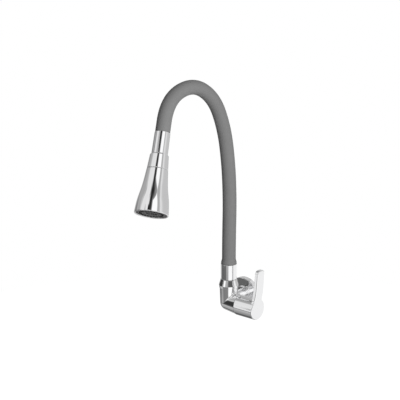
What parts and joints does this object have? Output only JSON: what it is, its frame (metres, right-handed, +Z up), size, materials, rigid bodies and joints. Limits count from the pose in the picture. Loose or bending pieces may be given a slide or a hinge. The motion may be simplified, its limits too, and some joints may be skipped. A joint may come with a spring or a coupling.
{
  "type": "laundry tap",
  "caption": "Wall-mounted chrome laundry tap with a quarter-turn side lever, a grey bendable gooseneck spout on a swivel and a flared two-jet spray head.",
  "frame": {"origin": "centre of the wall plane on the inlet's axis, where the threaded tail enters the wall", "axes": "+Z up; +Y into the wall along the inlet's axis; +X towards the lever handle; the room is on the -Y side"},
  "size_m": [0.1079, 0.3194, 0.3991],
  "materials": {
    "chrome": "polished chrome plate",
    "brass": "machined brass",
    "steel": "plain stainless steel",
    "sleeve_grey": "matte grey silicone",
    "hose_white": "plain polymer hose",
    "black_rubber": "moulded rubber",
    "ceramic": "lapped alumina",
    "dark_plastic": "moulded dark grey plastic",
    "white_plastic": "moulded white plastic",
    "slip_plastic": "slippery white plastic"
  },
  "bodies": {
    "tap": {"tap_body": "chrome", "inlet_nipple": "brass", "wall_flange": "chrome", "flange_gasket": "black_rubber", "seat_seal": "black_rubber", "fixed_disc": "ceramic", "headwork_body": "brass", "headwork_o_ring": "black_rubber", "handle_guide": "slip_plastic", "swivel_nut": "chrome", "lower_slip_washer": "slip_plastic", "upper_slip_washer": "slip_plastic"},
    "handle": {"lever_handle": "chrome", "spindle": "brass", "moving_disc": "ceramic", "spindle_o_rings": "black_rubber", "spindle_clip": "steel", "grub_screw": "steel"},
    "spout_riser": {"swivel_stem": "brass", "stem_o_rings": "black_rubber", "lower_collar": "chrome", "lower_ferrule": "steel", "silicone_sleeve": "sleeve_grey", "water_hose": "hose_white", "gooseneck_core_riser": "steel"},
    "spout_crown": {"gooseneck_core_crown": "steel"},
    "spout_drop": {"gooseneck_core_drop": "steel"},
    "head": {"gooseneck_core_tip": "steel", "upper_collar": "chrome", "upper_ferrule": "steel", "hose_end_fitting": "brass", "connection_washer": "black_rubber", "head_cap": "chrome", "diverter_seat": "white_plastic", "diverter_seal": "black_rubber", "shoulder_screw": "steel"},
    "bell": {"head_bell": "chrome", "diverter_disc": "white_plastic", "jet_tube": "white_plastic", "spray_plate": "dark_plastic", "nozzle_mat": "black_rubber", "plate_o_ring": "black_rubber", "aerator_housing": "dark_plastic", "aerator_screens": "steel", "aerator_seal": "black_rubber"}
  },
  "joints": [
    {"name": "lever_turn", "type": "hinge", "parent": "tap", "child": "handle", "pos_m": [0, -0.043, 0], "axis": [1, 0, 0], "range_deg": [0, 90]},
    {"name": "spout_swivel", "type": "hinge", "parent": "tap", "child": "spout_riser", "pos_m": [0, -0.043, 0.033], "axis": [0, 0, 1], "range_deg": [-100, 80]},
    {"name": "riser_bend", "type": "hinge", "parent": "spout_riser", "child": "spout_crown", "pos_m": [0.001, -0.04348, 0.13404], "axis": [1, 0, 0], "range_deg": [-15, 25], "deforming": ["silicone_sleeve", "water_hose"]},
    {"name": "crown_bend", "type": "hinge", "parent": "spout_crown", "child": "spout_drop", "pos_m": [0.01266, -0.1194, 0.3483], "axis": [1, 0, 0], "range_deg": [-30, 35], "deforming": ["silicone_sleeve", "water_hose"]},
    {"name": "drop_bend", "type": "hinge", "parent": "spout_drop", "child": "head", "pos_m": [0.0258, -0.21939, 0.32198], "axis": [0, -0.8862, 0.4633], "range_deg": [-15, 15], "deforming": ["silicone_sleeve", "water_hose"]},
    {"name": "jet_select", "type": "hinge", "parent": "head", "child": "bell", "pos_m": [0.02933, -0.22676, 0.30787], "axis": [0.2168, -0.4523, -0.8651], "range_deg": [0, 60]}
  ]
}
